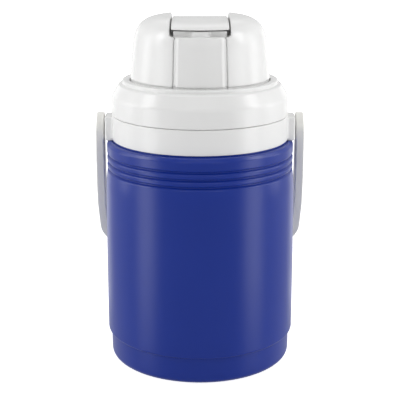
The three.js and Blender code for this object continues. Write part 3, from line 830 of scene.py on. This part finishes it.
def dome_outline(bottom):
    """Outline of the dome: a side with draft, a round shoulder and a slightly crowned top."""
    spring = (DOME_RADIUS - DOME_DRAFT, LID_TOP + DOME_SIDE)
    brink = (CROWN_RADIUS, CROWN_Z - CROWN_RISE)
    inwards = [1 - i / 10 for i in range(1, 11)]
    crown = [(brink[0] * share, CROWN_Z - CROWN_RISE * share ** 2) for share in inwards]
    side = [(DOME_RADIUS - DOME_DRAFT * i / 12, LID_TOP + DOME_SIDE * i / 12) for i in range(13)]
    shoulder = bezier([
        spring,
        (spring[0] - 0.9, spring[1] + 7.9),
        (brink[0] + 14, brink[1] - 0.9),
        brink,
    ], 60)
    return [(0.0, bottom), (DOME_RADIUS, bottom), *side, *shoulder, *crown]


DOME = outline_field(dome_outline(DOME_BASE))


def dome_distance(x, y, z):
    """Distance to the dome, whose lower edge stands clear of the lid's ring."""
    radius = np.hypot(x, y)
    foot = meet(radius - DOME_RADIUS + DOME_FOOT_INSET, z - LID_TOP - 3)
    return join(meet(DOME(radius, z), LID_TOP + DOME_FOOT_GAP - z, 0.4), foot)


def panel_taper(z):
    """0 at the dome's foot, 1 at the channel's floor."""
    return np.clip((z - LID_TOP) / (CHANNEL_FLOOR - LID_TOP), 0, 1)


def panel_half_width(z):
    """Half width of the insert's front and rear panels, which the groove in the dome follows."""
    return PANEL_HALF_WIDTH - PANEL_NARROWING * panel_taper(z)


def rod_distance(y, z, radius):
    """Distance to a rod of that radius along the hinge's axis."""
    return np.hypot(y - HINGE_Y, z - HINGE_Z) - radius


def make_dome():
    """The dome's two lobes, with the channel and the insert's slot between them, and its flange."""
    flange_top = LID_TOP - WALL - GAP
    ring_middle, ring_half = (
        (DOME_FLANGE + DOME_RADIUS - WALL) / 2, (DOME_FLANGE - DOME_RADIUS + WALL) / 2
    )
    level_middle, level_half = (flange_top + DOME_BASE) / 2, (flange_top - DOME_BASE) / 2

    def field(x, y, z):
        across = np.abs(x)
        skin = dome_distance(x, y, z)
        slot = meet(across - panel_half_width(z) - 0.2, z - CHANNEL_FLOOR - 1)
        channel = meet(across - CHANNEL_HALF_WIDTH, CHANNEL_FLOOR - z, 1.8)
        lobes = cut(cut(skin, slot, LOBE_EDGE), channel, 0.8)
        lobes = meet(lobes, flange_top - z)
        radius = np.hypot(x, y)
        ring = np.abs(radius - ring_middle) - ring_half
        flange = meet(ring, np.abs(z - level_middle) - level_half, 0.3)
        return cut(join(lobes, flange), rod_distance(y, z, PIN_HOLE))

    reach = DOME_FLANGE
    lobes = surface("dome_lobes", field, (-reach, -reach, DOME_BASE), (reach, reach, CROWN_Z), 0.6)
    dress(lobes, WHITE, "lid", "white_lid", "dome_shell")


def make_insert():
    """Spout insert: front and rear panels flush with the dome, and the channel's floor."""
    bottom = LID_TOP - WALL

    def field(x, y, z):
        across = np.abs(x)
        skin = dome_distance(x, y, z)
        half_width = panel_half_width(z) - 0.1
        panel = meet(skin, across - half_width, PANEL_EDGE)
        panel = meet(panel, z - CHANNEL_FLOOR, 0.9)
        tongue = meet(skin + PANEL_GROOVE_DEPTH, across - half_width - 0.2)
        tongue = meet(tongue, z - CHANNEL_FLOOR + 1.2)
        body = meet(join(panel, tongue, 0.3), bottom - z)
        middle, half = (PLATFORM_BACK + PLATFORM_FRONT) / 2, (PLATFORM_BACK - PLATFORM_FRONT) / 2
        plan = meet(across - PLATFORM_HALF_WIDTH, np.abs(y - middle) - half, 1.5)
        nose = np.hypot(x, y - NOSE_Y) - NOSE_RADIUS
        platform = meet(join(plan, nose, 1.0), z - PLATFORM_TOP, 0.7)
        body = join(body, meet(platform, CHANNEL_FLOOR - 3 - z), 0.4)
        return cut(body, np.hypot(x, y - SPOUT_Y) - SPOUT_RADIUS - 0.2, 0.2)

    reach = 19  # a little past the insert's widest place
    start = (-reach, -DOME_RADIUS, bottom)
    end = (reach, DOME_RADIUS, PLATFORM_TOP)
    insert = surface("spout_insert", field, start, end, 0.6)
    dress(insert, WHITE, "lid", "white_lid", "spout_housing")


def make_spout():
    """Drinking tube with a rounded lip, and the ring that seals it."""
    tube = lathe("spout_pipe", [
        (SPOUT_BORE, low("spout_tube", "Z"), 0.3),
        (SPOUT_RADIUS, low("spout_tube", "Z"), 0.3),
        (SPOUT_RADIUS, SPOUT_TOP, 0.9),
        (SPOUT_BORE, SPOUT_TOP, 0.7),
    ], 72, (0, SPOUT_Y))
    dress(tube, WHITE, "lid", "white_lid", "spout_tube")
    seal = lathe("spout_ring", [
        (SPOUT_RADIUS + GAP, low("spout_seal", "Z"), 0.7),
        (high("spout_seal", "X"), low("spout_seal", "Z"), 0.9),
        (high("spout_seal", "X"), high("spout_seal", "Z"), 0.9),
        (SPOUT_RADIUS + GAP, high("spout_seal", "Z"), 0.7),
    ], 72, (0, SPOUT_Y))
    dress(seal, SILICONE, "lid", "seal", "spout_seal")


def make_gasket():
    """Flat ring that seals the lid on the liner's flange."""
    bottom, top = low("lid_gasket", "Z"), high("lid_gasket", "Z")
    gasket = lathe("gasket_ring", [
        (LINER_BORE + 0.5, bottom, 0.5),
        (high("lid_gasket", "X"), bottom, 0.5),
        (high("lid_gasket", "X"), top, 0.5),
        (LINER_BORE + 0.5, top, 0.5),
    ])
    dress(gasket, SILICONE, "lid_ring", "seal", "lid_gasket")


def make_pin():
    """Steel hinge pin with chamfered ends, laid along X."""
    reach = high("hinge_pin", "X")
    radius = (high("hinge_pin", "Z") - low("hinge_pin", "Z")) / 2
    bm = bmesh.new()
    outline = rounded([(0, -reach), (radius, -reach, 0.35), (radius, reach, 0.35), (0, reach)])
    revolved(bm, outline, even_angles(32))
    for vertex in bm.verts:
        x, y, z = vertex.co
        vertex.co = (z, y + HINGE_Y * MM, HINGE_Z * MM - x)
    dress(finished(bm, "hinge_wire"), STEEL, "lid", "pin_steel", "hinge_pin")


# ---------------------------------------------------------------- flip cover


def make_cover():
    """Flip cover: crowned top, front that follows the dome, skirts, and a hinge knuckle behind."""
    crown_radius, crown_y, crown_z = COVER_CROWN

    def field(x, y, z):
        across = np.abs(x)
        crown = np.hypot(y - crown_y, z - crown_z + crown_radius) - crown_radius
        skin = dome_distance(x, y, z)
        outside = meet(crown, skin, 3.0)
        outside = meet(outside, across - COVER_HALF_WIDTH, 1.1)
        outside = meet(outside, y - HINGE_Y)
        outside = meet(outside, COVER_LIP_Z - z, 0.5)
        inside = meet(crown + COVER_WALL, skin + COVER_WALL, 2.0)
        inside = meet(inside, across - COVER_HALF_WIDTH + COVER_WALL, 0.8)
        inside = meet(inside, y - HINGE_Y + KNUCKLE_RADIUS + 1, 0.8)
        plate = cut(outside, inside, 0.4)
        barrel = meet(rod_distance(y, z, KNUCKLE_RADIUS), across - COVER_HALF_WIDTH, 0.6)
        return cut(join(plate, barrel, 0.5), rod_distance(y, z, KNUCKLE_BORE), 0.2)

    start = (-COVER_HALF_WIDTH, low("flip_cover", "Y"), low("flip_cover", "Z"))
    end = (COVER_HALF_WIDTH, high("flip_cover", "Y"), high("flip_cover", "Z"))
    cover = surface("flip_lid", field, start, end, 0.5)
    dress(cover, WHITE, "cover", "white_lid", "flip_cover")
    brim = high("spout_plug", "X")
    plug = lathe("spout_stopper", [
        (0, low("spout_plug", "Z")),
        (STOPPER_RADIUS - 0.2, low("spout_plug", "Z"), 0.9),
        (STOPPER_RADIUS, SPOUT_TOP + GAP, 0.3),
        (brim, SPOUT_TOP + GAP, 0.5),
        (brim, high("spout_plug", "Z"), 0.4),
        (0, high("spout_plug", "Z")),
    ], 64, (0, SPOUT_Y))
    dress(plug, SILICONE, "cover", "seal", "spout_plug")


# ---------------------------------------------------------------- studio

FLOOR_SIZE = 6.0  # half width, in metres, as are the other lengths of the studio
FLOOR_GLOW = 0.85  # keeps the floor white to the camera
CAMERA_LENS = 95.2  # millimetres, on a sensor 36 mm wide
CAMERA_AWAY = 0.7327
CAMERA_HEIGHT = 0.3164
CAMERA_PITCH = 15.42  # degrees downwards
CAMERA_TURN = -0.1  # degrees round the jug
LIGHT_AIM_Z = 0.12
SIDE_LIGHTS = (  # azimuth, elevation, distance, size and watts of a box on each side
    (66, -8, 1.3, (0.5, 0.75), 2.7),
    (82, 40, 1.3, (0.34, 0.4), 1.9),
    (76, 26, 1.3, (0.22, 0.6), 2.2),
    (100, 12, 1.3, (0.4, 0.9), 2.2),
    (150, -5, 1.3, (0.5, 0.9), 0.9),
    (20, 25, 1.3, (0.24, 0.7), 0.8),
)
MIDDLE_LIGHTS = (  # the same for the boxes in front, behind and on top
    (0, 55, 1.2, (0.6, 0.4), 0.42),
    (180, 50, 1.2, (0.8, 0.5), 0.85),
    (0, 88, 1.2, (0.8, 0.8), 0.75),
)
WORLD_FRONT = 0.34  # strength of the surroundings in front of the jug
WORLD_BACK = 0.58
WORLD_TURN = (-0.45, 0.4)  # Y of a direction, from all front to all back


def make_floor():
    """Pale floor, wide enough to fill the view, that casts no shadow and isn't mirrored."""
    mesh = bpy.data.meshes.new("studio_floor")
    signs = ((-1, -1), (1, -1), (1, 1), (-1, 1))
    mesh.from_pydata([(FLOOR_SIZE * x, FLOOR_SIZE * y, 0) for x, y in signs], [], [(0, 1, 2, 3)])
    floor = new_object("studio_floor", mesh)
    floor.visible_glossy = False
    floor.visible_shadow = False
    nodes = Nodes("pale_floor", 0.9)
    base = nodes.blend(nodes.noise(3), (0.78, 0.78, 0.78), (0.82, 0.82, 0.82))
    nodes.link(base, nodes.shader.inputs["Base Color"])
    glow = nodes.tree.nodes.new("ShaderNodeMath")
    glow.operation = "MULTIPLY"
    glow.inputs[1].default_value = FLOOR_GLOW
    nodes.link(nodes.tree.nodes.new("ShaderNodeLightPath").outputs["Is Camera Ray"], glow.inputs[0])
    nodes.link(glow.outputs["Value"], nodes.shader.inputs["Emission Strength"])
    nodes.shader.inputs["Emission Color"].default_value = (1, 1, 1, 1)
    mesh.materials.append(nodes.material)


def make_camera():
    """Camera in front of the jug, a little above it and looking down."""
    data = bpy.data.cameras.new("camera")
    data.lens = CAMERA_LENS
    data.sensor_width = 36
    camera = bpy.data.objects.new("camera", data)
    bpy.context.scene.collection.objects.link(camera)
    turn = math.radians(CAMERA_TURN)
    across, back = CAMERA_AWAY * math.sin(turn), CAMERA_AWAY * math.cos(turn)
    camera.location = (across, -back, CAMERA_HEIGHT)
    camera.rotation_euler = (math.radians(90 - CAMERA_PITCH), 0, turn)
    bpy.context.scene.camera = camera


def soft_box(azimuth, elevation, distance, size, watts):
    """Area light at an azimuth from the jug's front, aimed at the jug's middle."""
    data = bpy.data.lights.new("soft_box", "AREA")
    data.shape = "RECTANGLE"
    data.size, data.size_y = size
    data.energy = watts
    light = bpy.data.objects.new("soft_box", data)
    bpy.context.scene.collection.objects.link(light)
    turn, rise = math.radians(azimuth), math.radians(elevation)
    level = distance * math.cos(rise)
    height = LIGHT_AIM_Z + distance * math.sin(rise)
    light.location = (level * math.sin(turn), -level * math.cos(turn), height)
    light.rotation_euler = (math.pi / 2 - rise, 0, turn)


def make_lights():
    """Tall boxes on both sides, and weaker light from the front, above and behind."""
    for side in (-1, 1):
        for azimuth, *rest in SIDE_LIGHTS:
            soft_box(side * azimuth, *rest)
    for light in MIDDLE_LIGHTS:
        soft_box(*light)


def make_world():
    """Surroundings that are darker before the jug than behind it, and white to the camera."""
    world = bpy.data.worlds.new("studio")
    bpy.context.scene.world = world
    world.use_nodes = True
    tree = world.node_tree
    background = tree.nodes["Background"]
    way = tree.nodes.new("ShaderNodeTexCoord").outputs["Generated"]
    split = tree.nodes.new("ShaderNodeSeparateXYZ")
    tree.links.new(way, split.inputs["Vector"])
    shade = tree.nodes.new("ShaderNodeMapRange")
    shade.interpolation_type = "SMOOTHSTEP"
    shade.inputs["From Min"].default_value, shade.inputs["From Max"].default_value = WORLD_TURN
    shade.inputs["To Min"].default_value = WORLD_FRONT
    shade.inputs["To Max"].default_value = WORLD_BACK
    tree.links.new(split.outputs["Y"], shade.inputs["Value"])
    seen = tree.nodes.new("ShaderNodeLightPath").outputs["Is Camera Ray"]
    mix = tree.nodes.new("ShaderNodeMix")
    mix.inputs["B"].default_value = 1.0
    tree.links.new(seen, mix.inputs["Factor"])
    tree.links.new(shade.outputs["Result"], mix.inputs["A"])
    tree.links.new(mix.outputs["Result"], background.inputs["Strength"])
    background.inputs["Color"].default_value = (1, 1, 1, 1)


make_camera()
make_world()
make_floor()
make_lights()
bpy.context.scene.view_settings.view_transform = "Standard"

make_shell()
make_foot()
make_collar()
make_liner()
make_bail()
make_lid_skirt()
make_gasket()
make_dome()
make_insert()
make_spout()
make_pin()
make_cover()

for node, material in (("foam_body", FOAM), ("lid_foam", FOAM), ("lid_liner", LINER)):
    frame["nodes"][node].data.materials.clear()
    frame["nodes"][node].data.materials.append(material)
